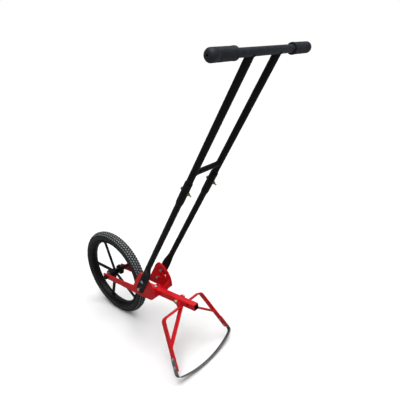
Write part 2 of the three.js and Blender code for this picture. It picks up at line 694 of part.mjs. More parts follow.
/** A flat strut from the middle of the cross bar to the inside of an arm. */
function strutGeometry(side) {
  const { barDepth, thickness, width, armSlope } = STIRRUP;
  const start = new THREE.Vector2(STRUT.start, -barDepth);
  const end = armPoint(STRUT.rise + barDepth, 0, 1);
  const along = end.clone().sub(start).normalize();
  const across = new THREE.Vector2(-along.y, along.x).multiplyScalar(thickness / 2);
  const long = [
    start.clone().addScaledVector(along, -30), end.clone().addScaledVector(along, 30),
  ];
  const outline = new THREE.Shape([
    long[0].clone().add(across), long[1].clone().add(across),
    long[1].clone().sub(across), long[0].clone().sub(across),
  ]);
  const strip = frontPlate(outline, -width / 2, width / 2);
  const barClear = new THREE.BoxGeometry(60, 200, 60)
    .translate(0, 0, -barDepth - thickness / 2 - GAP + 30);
  const armClear = new THREE.BoxGeometry(60, 60, 400)
    .translate(0, 30 - thickness / 2 - GAP, 0).rotateX(Math.atan(armSlope))
    .translate(0, armPoint(barDepth, 0, 1).x, -barDepth);
  const middleClear = new THREE.BoxGeometry(60, 40, 400).translate(0, GAP - 20, 0);
  const strut = cut(strip, barClear, armClear, middleClear);
  return side > 0 ? strut : strut.rotateZ(Math.PI);
}

/** A bracket ear: round above the pivot hole, and straight down to the cross bar. */
function earGeometry(side) {
  const bottom = -(STIRRUP.barDepth - STIRRUP.thickness / 2 - GAP);
  const shape = new THREE.Shape();
  shape.absarc(0, 0, EAR.radius, 0, Math.PI);
  shape.lineTo(-EAR.radius, bottom);
  shape.lineTo(EAR.radius, bottom);
  shape.holes = [new THREE.Path().absarc(0, 0, M8.shank + GAP, 0, 2 * Math.PI)];
  const low = side > 0 ? EAR.inner : -EAR.inner - EAR.thickness;
  return sidePlate(shape, low, low + EAR.thickness, 10);
}

function addStirrup(parent) {
  const stirrup = new THREE.Group();
  stirrup.position.copy(STIRRUP_PIVOT);
  stirrup.rotation.y = rad(STIRRUP.trail);
  parent.add(stirrup);

  addPiece(stirrup, 'stirrup_frame', stirrupFrameGeometry(), 'redPaint');
  addPiece(stirrup, 'blade', bladeGeometry(), 'bladeSteel');
  const boltSeat = STIRRUP.thickness / 2 + 2 * GAP + BLADE.thickness;
  const nutSeat = -STIRRUP.thickness / 2 - GAP;
  for (const [name, side] of SIDES) {
    addPiece(stirrup, `bracket_ear_${name}`, earGeometry(side), 'redPaint');
    addPiece(stirrup, `strut_${name}`, strutGeometry(side), 'redPaint');
    BLADE_BOLT_DEPTHS.forEach((depth, i) => {
      const row = i === 0 ? 'upper' : 'lower';
      const length = boltSeat - nutSeat + M6.nut + BOLT_TAIL;
      const bolt = addPiece(stirrup, `blade_bolt_${name}_${row}`, domeBolt(M6, length), 'zinc');
      onArm(bolt, depth, boltSeat, side);
      const nut = addPiece(stirrup, `blade_nut_${name}_${row}`, hexNut(M6), 'zinc');
      onArm(nut, depth, nutSeat, side);
    });
  }

  const washerSeat = EAR.inner + EAR.thickness + GAP;
  const seat = washerSeat + PIVOT_WASHER.thickness + GAP;
  const { x, z } = STIRRUP_PIVOT;
  for (const [name, side] of SIDES) {
    const [near, far] = [side * washerSeat, side * (washerSeat + PIVOT_WASHER.thickness)];
    const washer = yTube(PIVOT_WASHER.radius, M8.shank + GAP, near, far, 20).translate(x, 0, z);
    addPiece(parent, `stirrup_washer_${name}`, washer, 'yellowZinc');
  }
  const length = 2 * seat + M8.nut + BOLT_TAIL;
  const bolt = addPiece(parent, 'stirrup_pivot_bolt', hexBolt(M8, length), 'yellowZinc');
  faceSideways(bolt, 1, x, seat, z);
  const nut = addPiece(parent, 'stirrup_pivot_nut', hexNut(M8), 'yellowZinc');
  faceSideways(nut, 1, x, -seat, z);
}

// ---- The whole tool -----------------------------------------------------------------------

/** How far the chassis tips up at the rear so that the wheel and the blade share the ground. */
function groundTilt() {
  const trail = rad(STIRRUP.trail);
  const depth = BLADE.middle + BLADE.thickness / 2;
  const x = STIRRUP_PIVOT.x - depth * Math.sin(trail) + BLADE.front * Math.cos(trail);
  const z = STIRRUP_PIVOT.z - depth * Math.cos(trail) - BLADE.front * Math.sin(trail);
  return Math.asin(-WHEEL.radius / Math.hypot(x, z)) - Math.atan2(z, -x);
}

const chassis = new THREE.Group();
addWheel(chassis);
addAxle(chassis);
addFork(chassis);
addToolBar(chassis);
addHandle(chassis);
addStirrup(chassis);
chassis.rotation.y = groundTilt();
chassis.updateMatrixWorld(true);

const bounds = new THREE.Box3().setFromObject(chassis, true);
chassis.position.set(-(bounds.min.x + bounds.max.x) / 2, 0, -bounds.min.z);

const group = new THREE.Group();
group.add(chassis);

export default group;
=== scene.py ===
import json
import math

import bmesh
import bpy
import numpy as np
from mathutils import Matrix, Vector
from mathutils.geometry import tessellate_polygon


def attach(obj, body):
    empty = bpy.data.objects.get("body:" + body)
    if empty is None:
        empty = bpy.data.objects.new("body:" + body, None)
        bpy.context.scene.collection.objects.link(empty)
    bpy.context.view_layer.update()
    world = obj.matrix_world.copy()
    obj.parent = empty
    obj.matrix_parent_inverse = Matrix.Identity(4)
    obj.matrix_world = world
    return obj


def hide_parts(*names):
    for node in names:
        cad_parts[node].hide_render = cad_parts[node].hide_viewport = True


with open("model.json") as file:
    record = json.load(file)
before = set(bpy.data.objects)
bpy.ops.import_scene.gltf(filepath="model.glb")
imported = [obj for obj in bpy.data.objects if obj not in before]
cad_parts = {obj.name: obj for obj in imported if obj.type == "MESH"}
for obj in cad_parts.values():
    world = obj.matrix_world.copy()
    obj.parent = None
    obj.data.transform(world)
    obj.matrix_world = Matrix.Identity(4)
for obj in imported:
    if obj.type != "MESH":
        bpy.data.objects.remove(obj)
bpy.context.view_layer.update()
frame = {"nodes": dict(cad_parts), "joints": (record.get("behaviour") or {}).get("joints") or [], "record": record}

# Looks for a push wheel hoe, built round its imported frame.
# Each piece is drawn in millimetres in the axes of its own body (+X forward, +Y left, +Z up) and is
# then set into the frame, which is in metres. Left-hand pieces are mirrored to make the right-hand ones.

MM = 0.001
JOINTS = {joint["name"]: joint for joint in frame["joints"]}
MOUNTS = {mount["name"]: mount for mount in frame["record"]["mounts"]}
SIDES = (("left", 1), ("right", -1))


# ---- Axes taken from the frame ----

def axes_at(place, forward):
    """Millimetre axes at a place in the frame: +X along forward, +Y to the left, +Z up."""
    x = Vector(forward).normalized()
    y = Vector((0, 1, 0))
    turn = Matrix((x, y, x.cross(y))).transposed().to_4x4()
    return Matrix.Translation(place) @ turn @ Matrix.Scale(MM, 4)


def corners(node, axes):
    """Every corner of a CAD node, in the given axes."""
    to_local = np.array(axes.inverted())
    points = np.array([vertex.co for vertex in frame["nodes"][node].data.vertices])
    return points @ to_local[:3, :3].T + to_local[:3, 3]


def local_box(node, axes):
    points = corners(node, axes)
    return points.min(0), points.max(0)


def spin(axis, degrees):
    return Matrix.Rotation(math.radians(degrees), 4, axis)


def shift(x, y, z):
    return Matrix.Translation((x, y, z))


CHASSIS = axes_at(JOINTS["wheel_spin"]["pos_m"], -Vector(MOUNTS["tool_bar_end"]["axis"]))


def lined_up(joint, node, way):
    """Axes at a joint whose +Z points towards a CAD node (way 1) or away from it (way -1)."""
    pivot = Vector(JOINTS[joint]["pos_m"])
    points = [vertex.co for vertex in frame["nodes"][node].data.vertices]
    up = way * (sum(points, Vector()) / len(points) - pivot)
    up.y = 0
    return axes_at(pivot, Vector((0, 1, 0)).cross(up))


HANDLE = lined_up("handle_tilt", "t_bar", 1)
STIRRUP = lined_up("stirrup_swing", "blade_bolt_left_lower", -1)


# ---- Drawing shapes: a shape is (corner points, faces) ----

def skin(rings, loop=False):
    """Faces over a stack of equal closed rings, capped at both ends or joined end to end."""
    rings = np.asarray(rings, float)
    rows, count = rings.shape[:2]
    row, i = np.meshgrid(np.arange(rows if loop else rows - 1), np.arange(count), indexing="ij")
    this, above = row * count, (row + 1) % rows * count
    beside = (i + 1) % count
    quads = np.stack([this + i, this + beside, above + beside, above + i], -1).reshape(-1, 4).tolist()
    if not loop:
        quads.append(list(range(count))[::-1])
        quads.append(list(range((rows - 1) * count, rows * count)))
    return rings.reshape(-1, 3), quads


def turned(profile, count=72, loop=True):
    """A profile of (radius, z) points turned about Z: a closed profile, or one capped at its ends."""
    profile = np.asarray(profile, float)
    angle = np.arange(count) * 2 * math.pi / count
    rings = np.empty((len(profile), count, 3))
    rings[..., 0] = profile[:, :1] * np.cos(angle)
    rings[..., 1] = profile[:, :1] * np.sin(angle)
    rings[..., 2] = profile[:, 1:]
    return skin(rings, loop)


def fillet(points, radius, steps=4, closed=True):
    """The points with each corner rounded to a true arc; radius is one number, or one per corner."""
    points = [np.array(point, float) for point in points]
    count = len(points)
    radii = radius if isinstance(radius, (list, tuple)) else [radius] * count
    t = np.linspace(0, 1, steps + 1)[:, None]
    path = []
    for i, corner in enumerate(points):
        if radii[i] <= 0 or (not closed and i in (0, count - 1)):
            path.append(corner)
            continue
        before = points[i - 1] - corner
        after = points[(i + 1) % count] - corner
        lengths = np.linalg.norm(before), np.linalg.norm(after)
        before, after = before / lengths[0], after / lengths[1]
        half = math.acos(np.clip(before @ after, -1, 1)) / 2
        reach = min(radii[i] / math.tan(half), 0.49 * lengths[0], 0.49 * lengths[1])
        weights = (1 - t) ** 2, 2 * math.sin(half) * t * (1 - t), t ** 2
        curve = weights[0] * (corner + before * reach) + weights[1] * corner
        curve += weights[2] * (corner + after * reach)
        path.extend(curve / sum(weights))
    return np.array(path)


def box_section(half_width, half_height, radius, steps):
    """A rectangle about the origin with rounded corners."""
    w, h = half_width, half_height
    return fillet([(w, h), (-w, h), (-w, -h), (w, -h)], radius, steps)


def arc(x, z, radius, start, end, steps):
    """Points round a circle, from one angle to another, in degrees."""
    angle = np.radians(np.linspace(start, end, steps + 1))
    return np.stack([x + radius * np.cos(angle), z + radius * np.sin(angle)], 1)


def curve_to(start, corner, end, steps=10):
    """Points along the curve that leaves start towards corner and arrives at end."""
    t = np.linspace(0, 1, steps + 1)[:, None]
    return (1 - t) ** 2 * np.array(start) + 2 * t * (1 - t) * np.array(corner) + t ** 2 * np.array(end)


def ease(t):
    """0 to 1, starting and ending level."""
    return t * t * (3 - 2 * t)


def inset(loop, amount):
    """The loop moved sideways towards its left by amount, corner by corner."""
    ahead = np.roll(loop, -1, 0) - loop
    ahead /= np.linalg.norm(ahead, axis=1, keepdims=True)
    behind = np.roll(ahead, 1, 0)
    normals = [np.stack([-side[:, 1], side[:, 0]], 1) for side in (ahead, behind)]
    middle = normals[0] + normals[1]
    return loop + amount * 2 * middle / (middle ** 2).sum(1, keepdims=True)


def plate(outline, holes, low, high, edge=0.6):
    """A flat plate drawn in (x, z) with rounded edges, from y = low to y = high."""
    loops = []
    for i, loop in enumerate([outline, *holes]):
        loop = np.array(loop, float)
        area = np.sum(loop[:, 0] * np.roll(loop[:, 1], -1) - np.roll(loop[:, 0], -1) * loop[:, 1])
        loops.append(loop if (area > 0) == (i == 0) else loop[::-1])
    quarter = np.radians([0, 30, 60, 90])
    levels = [(edge * (1 - math.sin(a)), low + edge * (1 - math.cos(a))) for a in quarter]
    levels += [(inward, low + high - y) for inward, y in reversed(levels)]
    points, faces, caps = [], [], ([], [])
    for loop in loops:
        start, count = sum(map(len, points)), len(loop)
        for inward, y in levels:
            flat = inset(loop, inward) if inward > 1e-6 else loop
            points.append(np.stack([flat[:, 0], np.full(count, y), flat[:, 1]], 1))
        for row in range(len(levels) - 1):
            for i in range(count):
                a, b = start + row * count + i, start + row * count + (i + 1) % count
                faces.append([a, b, b + count, a + count])
        caps[0].append(list(range(start, start + count)))
        caps[1].append(list(range(start + (len(levels) - 1) * count, start + len(levels) * count)))
    points = np.concatenate(points)
    for cap in caps:
        flat = [[Vector((points[i][0], points[i][2], 0)) for i in loop] for loop in cap]
        order = [i for loop in cap for i in loop]
        faces += [[order[i] for i in triangle] for triangle in tessellate_polygon(flat)]
    return points, faces


def strip(path, section_at):
    """A bar along a path of (y, z) points; section_at(i) gives its (x, outward) points there."""
    path = np.asarray(path, float)
    along = np.gradient(path, axis=0)
    along /= np.linalg.norm(along, axis=1, keepdims=True)
    outward = np.stack([along[:, 1], -along[:, 0]], 1)
    return skin([
        [(x, *(path[i] + outward[i] * o)) for x, o in section_at(i)] for i in range(len(path))
    ])


def bead(path, radius, loop=False):
    """A weld bead along a path of 3-D points, rippled as its puddles froze."""
    path = np.asarray(path, float)
    along = (np.roll(path, -1, 0) - np.roll(path, 1, 0)) if loop else np.gradient(path, axis=0)
    along /= np.linalg.norm(along, axis=1, keepdims=True)
    rings = []
    for i, (point, way) in enumerate(zip(path, along)):
        side = Vector(way).orthogonal().normalized()
        other = Vector(way).cross(side)
        tip = 0.5 if not loop and i in (0, len(path) - 1) else 1
        size = radius * tip * (1 + 0.12 * math.cos(2 * math.pi * i / 4))
        rings.append([
            point + size * (math.cos(a) * np.array(side) + math.sin(a) * np.array(other))
            for a in np.arange(10) * 2 * math.pi / 10
        ])
    return skin(rings, loop)


def moved(shape, *steps):
    points, faces = shape
    for step in steps:
        matrix = np.array(step)
        points = points @ matrix[:3, :3].T + matrix[:3, 3]
    return points, faces


def mirrored(shape):
    points, faces = shape
    return points * (1, -1, 1), faces


def to_mesh(shape, name):
    points, faces = shape
    mesh = bpy.data.meshes.new(name)
    mesh.from_pydata(points.tolist(), [], faces)
    work = bmesh.new()
    work.from_mesh(mesh)
    bmesh.ops.remove_doubles(work, verts=work.verts, dist=1e-5)
    bmesh.ops.recalc_face_normals(work, faces=work.faces)
    work.to_mesh(mesh)
    work.free()
    return mesh


def combine(base, others, operation):
    """Closed shapes joined ("UNION") or cut from the first one ("DIFFERENCE")."""
    parts = []
    for shape in (base, *others):
        part = bpy.data.objects.new("part", to_mesh(shape, "part"))
        bpy.context.scene.collection.objects.link(part)
        parts.append(part)
    for other in parts[1:]:
        modifier = parts[0].modifiers.new("combine", "BOOLEAN")
        modifier.operation = operation
        modifier.solver = "EXACT"
        modifier.object = other
    result = parts[0].evaluated_get(bpy.context.evaluated_depsgraph_get()).to_mesh()
    points = np.array([vertex.co for vertex in result.vertices])
    faces = [list(face.vertices) for face in result.polygons]
    for part in parts:
        bpy.data.meshes.remove(part.data)
    return points, faces


def cut(base, *tools):
    return combine(base, tools, "DIFFERENCE")


def join(base, *others):
    return combine(base, others, "UNION")


def rod(radius, low, high, count=48):
    """A plain round bar along Z, used for cutting holes."""
    return turned([(radius, low), (radius, high)], count, loop=False)


ACROSS = spin("X", -90)  # turns +Z to +Y
AHEAD = spin("Y", 90)  # turns +Z to +X


def show(name, shape, axes, body, finish, stands_for=(), crease=35):
    """Sets a shape into the frame as a piece that rides on a body."""
    mesh = to_mesh(shape, name)
    mesh.transform(axes)
    mesh.shade_smooth()
    mesh.set_sharp_from_angle(angle=math.radians(crease))
    mesh.materials.append(FINISHES[finish])
    piece = bpy.data.objects.new(name, mesh)
    bpy.context.scene.collection.objects.link(piece)
    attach(piece, body)
    if stands_for:
        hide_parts(*stands_for)
    return piece


def show_node(node, shape, axes, body, finish, crease=35):
    """A piece that stands for one CAD node."""
    return show(f"{node}_shown", shape, axes, body, finish, (node,), crease)


def show_pair(kind, shape, axes, body, finish, crease=35):
    """The left piece as drawn, and the right one mirrored."""
    show_node(f"{kind}_left", shape, axes, body, finish, crease)
    show_node(f"{kind}_right", mirrored(shape), axes, body, finish, crease)


def repaint(piece, axes, finishes, pick):
    """Gives some faces another finish: pick(place, normal) returns its name, or None to leave it."""
    mesh = piece.data
    for finish in finishes:
        mesh.materials.append(FINISHES[finish])
    to_local = axes.inverted()
    turn = to_local.to_3x3().normalized()
    for face in mesh.polygons:
        finish = pick(to_local @ face.center, turn @ face.normal)
        if finish:
            face.material_index = 1 + finishes.index(finish)


# ---- Finishes ----

class Graph:
    """The node tree of one material, with a short way of adding nodes."""

    def __init__(self, name):
        self.material = bpy.data.materials.new(name)
        self.material.use_nodes = True
        self.tree = self.material.node_tree
        self.surface = self.tree.nodes["Principled BSDF"]
        self.place = self.add("ShaderNodeTexCoord").outputs["Object"]

    def add(self, kind, inputs=None, **settings):
        node = self.tree.nodes.new(kind)
        for key, value in settings.items():
            setattr(node, key, value)
        self.feed(node, inputs or {})
        return node

    def feed(self, node, inputs):
        for key, value in inputs.items():
            if isinstance(value, bpy.types.NodeSocket):
                self.tree.links.new(value, node.inputs[key])
            else:
                node.inputs[key].default_value = value

    def noise(self, scale, detail=3.0, stretch=(1, 1, 1)):
        """Cloudy noise; scale is in features per metre."""
        spread = self.add("ShaderNodeMapping", {"Vector": self.place, "Scale": stretch}).outputs[0]
        inputs = {"Vector": spread, "Scale": scale, "Detail": detail}
        return self.add("ShaderNodeTexNoise", inputs).outputs["Fac"]

    def ramp(self, value, low, high, to_low=0.0, to_high=1.0):
        """value, stretched from low..high to to_low..to_high."""
        inputs = {"Value": value, "From Min": low, "From Max": high, "To Min": to_low, "To Max": to_high}
        return self.add("ShaderNodeMapRange", inputs).outputs[0]

    def mix(self, factor, first, second):
        """A colour between first and second."""
        node = self.add("ShaderNodeMix", data_type="RGBA")
        self.feed(node, {0: factor, 6: first, 7: second})
        return node.outputs[2]

    def bump(self, height, strength, depth):
        """Surface relief; depth is in metres."""
        inputs = {"Height": height, "Strength": strength, "Distance": depth}
        return self.add("ShaderNodeBump", inputs).outputs[0]

    def edges(self, radius):
        """1 on worn outer edges, 0 on flat faces; radius is in metres."""
        rounded = self.add("ShaderNodeBevel", {"Radius": radius}, samples=4).outputs[0]
        flat = self.add("ShaderNodeNewGeometry").outputs["Normal"]
        inputs = {0: rounded, 1: flat}
        match = self.add("ShaderNodeVectorMath", inputs, operation="DOT_PRODUCT").outputs["Value"]
        return self.ramp(match, 0.985, 0.8)


def colour(hex_code):
    """A linear colour from an sRGB hex code."""
    parts = [int(hex_code[i:i + 2], 16) / 255 for i in (0, 2, 4)]
    return (*[p / 12.92 if p <= 0.04045 else ((p + 0.055) / 1.055) ** 2.4 for p in parts], 1.0)


def paint(name, base, shade, worn, gloss, shine):
    """Powder coat: a faint orange peel, slow colour drift, and thinner paint along the edges."""
    graph = Graph(name)
    drift = graph.mix(graph.ramp(graph.noise(14), 0.35, 0.65), colour(base), colour(shade))
    wear = graph.add("ShaderNodeMath", {
        0: graph.edges(0.0012), 1: graph.ramp(graph.noise(220, 5), 0.42, 0.7),
    }, operation="MULTIPLY").outputs[0]
    peel = graph.bump(graph.noise(900, 2), 0.10, 0.0004)
    graph.feed(graph.surface, {
        "Base Color": graph.mix(wear, drift, colour(worn)),
        "Roughness": graph.ramp(graph.noise(60), 0.3, 0.7, gloss - 0.05, gloss + 0.07),
        "Normal": peel,
        "Specular IOR Level": shine,
    })
    return graph.material


def plated(name, base, tint, rough):
    """Plated steel: fine spangle in colour and roughness, and faint turning marks."""
    graph = Graph(name)
    spread = graph.add("ShaderNodeTexVoronoi", {"Vector": graph.place, "Scale": 420}).outputs["Color"]
    spangle = graph.add("ShaderNodeRGBToBW", {"Color": spread}).outputs[0]
    graph.feed(graph.surface, {
        "Base Color": graph.mix(graph.ramp(graph.noise(160, 4), 0.3, 0.7), colour(base), colour(tint)),
        "Metallic": 1.0,
        "Roughness": graph.ramp(spangle, 0.0, 1.0, rough - 0.06, rough + 0.10),
        "Normal": graph.bump(graph.noise(1600, 2), 0.08, 0.0002),
    })
    return graph.material


def rubber(name, base, dusty, rough, grain=1500):
    """Moulded rubber: matt, with a fine grain and a slightly paler bloom."""
    graph = Graph(name)
    graph.feed(graph.surface, {
        "Base Color": graph.mix(graph.ramp(graph.noise(45, 5), 0.35, 0.75), colour(base), colour(dusty)),
        "Roughness": graph.ramp(graph.noise(120), 0.3, 0.7, rough - 0.06, rough + 0.08),
        "Normal": graph.bump(graph.noise(grain, 3), 0.18, 0.0003),
        "Specular IOR Level": 0.35,
        "Sheen Weight": 0.04,
    })
    return graph.material


def blade_steel(name, base, light, rough):
    """Rolled spring steel: long brushed streaks across the blade and blue-brown heat colour."""
    graph = Graph(name)
    streaks = graph.noise(900, 3, (0.08, 1, 1))
    patches = graph.ramp(graph.noise(38, 4), 0.4, 0.7)
    tone = graph.mix(graph.ramp(streaks, 0.3, 0.7), colour(base), colour(light))
    graph.feed(graph.surface, {
        "Base Color": graph.mix(graph.ramp(patches, 0, 1, 0, 0.5), tone, colour("5B5347")),
        "Metallic": 0.6,
        "Roughness": graph.ramp(streaks, 0.3, 0.7, rough - 0.08, rough + 0.12),
        "Normal": graph.bump(streaks, 0.12, 0.0002),
    })
    return graph.material


def floor_finish():
    """A pale floor to look at, which throws less light back up at the hoe."""
    graph = Graph("floor")
    pale = graph.mix(graph.noise(3), (0.90, 0.90, 0.90, 1), (0.93, 0.93, 0.93, 1))
    seen = graph.add("ShaderNodeLightPath").outputs["Is Camera Ray"]
    graph.feed(graph.surface, {
        "Base Color": graph.mix(seen, (0.30, 0.30, 0.30, 1), pale),
        "Roughness": 0.9,
        "Specular IOR Level": 0.1,
    })
    return graph.material


FINISHES = {name: make(name, *look) for name, make, *look in (
    ("red_paint", paint, "DC1620", "CE121B", "E2463C", 0.42, 0.25),
    ("black_paint", paint, "0D0D0C", "090909", "262625", 0.44, 0.16),
    ("zinc", plated, "D2D5D9", "BDC2C7", 0.30),
    # Dark bare steel: the axle, and the inside of the tool bar, where it also serves as painted shade.
    ("dark_steel", plated, "343536", "262728", 0.42),
    ("yellow_zinc", plated, "CFC8AC", "C0B48F", 0.32),
    ("tyre_rubber", rubber, "141615", "1D2020", 0.55),
    # Near-black groove rubber: painted shade in the gaps between the tread blocks.
    ("tread_groove", rubber, "070807", "0B0C0B", 0.8),
    # Pale grey block-top rubber: a painted highlight on the tops of the tread blocks.
    ("tread_top", rubber, "74787A", "84888A", 0.5),
    ("tube_rubber", rubber, "121212", "1C1C1C", 0.5),
    ("grip_rubber", rubber, "191C24", "232834", 0.55, 2200),
    ("blade_steel", blade_steel, "444647", "525455", 0.45),
    ("bright_steel", plated, "A9ABAD", "8F9193", 0.3),
    ("ground_edge", blade_steel, "76787A", "8C8E90", 0.38),
    ("bare_end", blade_steel, "85817A", "99938A", 0.42),
)}


# ---- Nuts and bolts ----

def on_own_axis(node, axes):
    """The axes moved to a fastener's centre line, and how far it runs along its own +Z."""
    low, high = local_box(node, axes)
    centre = (low + high) / 2
    return axes @ shift(centre[0], centre[1], 0), low[2], high[2]


def thread(radius, low, high, pitch):
    """A profile of thread crests and roots, from low up to high."""
    turns = max(1, int((high - low) / pitch))
    profile = []
    for z in np.linspace(low, high, turns, endpoint=False):
        profile += [(radius, z + 0.15 * pitch), (radius - 0.55 * pitch, z + 0.6 * pitch)]
    return profile


def hexagon_rings(flats, low, high, chamfer_low):
    """Rings up the side of a hexagon whose corners are turned off at the top, or at both ends."""
    count = 72
    angle = np.arange(count) * 2 * math.pi / count
    reach = flats / 2 / np.cos((angle + math.pi / 6) % (math.pi / 3) - math.pi / 6)
    face = 0.47 * flats
    drop = (reach - face) * math.tan(math.radians(28))
    round_off = np.stack([np.cos(angle), np.sin(angle)], 1)

    def ring(radius, z):
        return np.column_stack([round_off * np.reshape(radius, (-1, 1)), np.broadcast_to(z, count)])

    bottom = low + (drop if chamfer_low else 0.0 * drop)
    return [ring(face, low), ring(reach, bottom), ring(reach, high - drop), ring(face, high)], ring


def hex_bolt(size, low, high):
    """A hexagon bolt whose head is at the top."""
    seat = high - size["head"]
    rings, ring = hexagon_rings(size["flats"], seat, high, False)
    shank = [(size["shank"] - 0.8, low), (size["shank"], low + 0.8)]
    shank += thread(size["shank"], low + 0.9, min(low + size["thread"], seat - 0.5), size["pitch"])
    shank += [(size["shank"], seat)]
    stamped = [ring(0.40 * size["flats"], high), ring(0.37 * size["flats"], high - 0.35)]
    return skin([ring(radius, z) for radius, z in shank] + rings + stamped)


def hex_nut(size, low, high):
    rings, ring = hexagon_rings(size["flats"], low, high, True)
    bore = size["shank"] + 0.15
    inside = [ring(bore + 0.6, high), ring(bore, high - 0.6), ring(bore, low + 0.6), ring(bore + 0.6, low)]
    return skin(rings + inside, loop=True)


def dome_bolt(size, low, high):
    """A round-headed bolt with a low domed head at the top."""
    rim, rise = 0.7, 2.9  # straight side of the head, and the dome above it
    seat = high - rim - rise
    radius = 0.65 * size["flats"]
    dome = [(radius, seat), (radius, seat + rim)]
    for a in np.radians([20, 40, 60, 75, 87]):
        dome.append((radius * math.cos(a), seat + rim + rise * math.sin(a)))
    shank = [(size["shank"] - 0.6, low), (size["shank"], low + 0.6)]
    shank += thread(size["shank"], low + 0.7, low + size["thread"], size["pitch"])
    return turned(shank + [(size["shank"], seat)] + dome, 48, loop=False)


M6 = {"shank": 3, "flats": 10, "head": 4, "pitch": 1.0, "thread": 9}
JOINT_M6 = {**M6, "thread": 18}
M8 = {"shank": 4, "flats": 13, "head": 5.3, "pitch": 1.25, "thread": 13}
AXLE_THREAD = {"shank": 6, "flats": 19, "head": 8, "pitch": 1.75, "thread": 17}


def show_fastener(node, draw, size, axes, body, finish):
    own, low, high = on_own_axis(node, axes)
    show_node(node, draw(size, low, high), own, body, finish, crease=30)


def show_bolted(kind, place, size, axes, body, finish, bolt=hex_bolt):
    """A bolt and its nut."""
    show_fastener(f"{kind}_bolt{place}", bolt, size, axes, body, finish)
    show_fastener(f"{kind}_nut{place}", hex_nut, size, axes, body, finish)


def ring_shape(outer, bore, low, high, edge=0.4, count=64):
    """A washer, spacer or plain tube with softened edges."""
    return turned(fillet([(outer, low), (outer, high), (bore, high), (bore, low)], edge, 2), count)


# ---- Wheel ----

TREAD = {"blocks": 100, "rows": 5, "row_angle": 26, "height": 3.2}
BLOCK_PROFILE = (0, 1, 1, 1, 1, 1, 1, 0)  # height of a block at each step round the tyre
BLOCK_SIDES = ((-0.38, 0), (-0.30, 1), (0.30, 1), (0.38, 0))  # height of a block across its row
SIDEWALL_RIDGES = (110, 103)  # degrees from the crown


def tyre_shape():
    """A tyre whose tread is staggered rows of small square blocks."""
    points = corners("tyre", CHASSIS)
    section = points[:, 1].max()
    centre = np.hypot(points[:, 0], points[:, 2]).max() - section
    bead_radius = np.hypot(points[:, 0], points[:, 2]).min()
    base = section - TREAD["height"]
    shoulder = TREAD["rows"] * TREAD["row_angle"] / 2

    def wall_depth(angle):
        """The section's radius on the sidewall: full at its widest, shallower under the tread."""
        return base + (section - 0.2 - base) * ease(min(1.0, (angle - shoulder) / 18))

    side = []
    for angle in (shoulder + 1, shoulder + 6, shoulder + 12, 84, 90, 96):
        side.append((angle, wall_depth(angle)))
    for ridge in reversed(SIDEWALL_RIDGES):
        side += [(ridge - 2.2, section - 0.2), (ridge - 1.4, section + 0.25)]
        side += [(ridge + 1.4, section + 0.25), (ridge + 2.2, section - 0.2)]
    side.append((116, section - 0.6))
    neck = [(bead_radius + r, y) for r, y in ((8.5, 16.6), (6.5, 14.5), (0.8, 14.4), (0, 13.6))]

    steps = len(BLOCK_PROFILE)
    count = TREAD["blocks"] * steps
    turn = np.arange(count) * 2 * math.pi / count
    rings = []

    def ring(radius, y):
        radius, y = np.broadcast_to(radius, count), np.broadcast_to(y, count)
        rings.append(np.column_stack([radius * np.cos(turn), y, radius * np.sin(turn)]))

    def section_ring(angle, depth):
        ring(centre + depth * math.cos(math.radians(angle)), depth * math.sin(math.radians(angle)))

    for radius, y in reversed(neck):
        ring(radius, y)
    for angle, depth in reversed(side):
        section_ring(angle, depth)
    half = TREAD["rows"] // 2
    for row in range(half, -half - 1, -1):
        around = np.roll(np.tile(BLOCK_PROFILE, TREAD["blocks"]), (row % 2) * steps // 2)
        for across, lift in reversed(BLOCK_SIDES):
            section_ring((row + across) * TREAD["row_angle"], base + TREAD["height"] * lift * around)
    for angle, depth in side:
        section_ring(-angle, depth)
    for radius, y in neck:
        ring(radius, -y)
    inside = [(bead_radius, 11), (164, 11), (181, 18), (190.5, 13)]
    for radius, y in inside:
        ring(radius, -y)
    ring(195, 0)
    for radius, y in reversed(inside):
        ring(radius, y)
    return skin(rings, loop=True)


def paint_tread_highlight_and_shade(tyre):
    """Paler tread block tops as a painted highlight, and black grooves between them as painted shade."""
    points = corners("tyre", CHASSIS)
    section = points[:, 1].max()
    centre = np.hypot(points[:, 0], points[:, 2]).max() - section
    shoulder = math.radians(TREAD["rows"] * TREAD["row_angle"] / 2)

    def pick(place, _):
        out = math.hypot(place.x, place.z) - centre
        lift = (math.hypot(out, place.y) - section) / TREAD["height"] + 1
        if math.atan2(abs(place.y), out) >= shoulder:
            return None
        # Block tops get the painted highlight; the grooves below them get the painted shade.
        if lift > 0.9:
            return "tread_top"
        return "tread_groove" if -0.2 < lift < 0.6 else None

    repaint(tyre, CHASSIS, ["tread_groove", "tread_top"], pick)


VALVE_ANGLE = 197


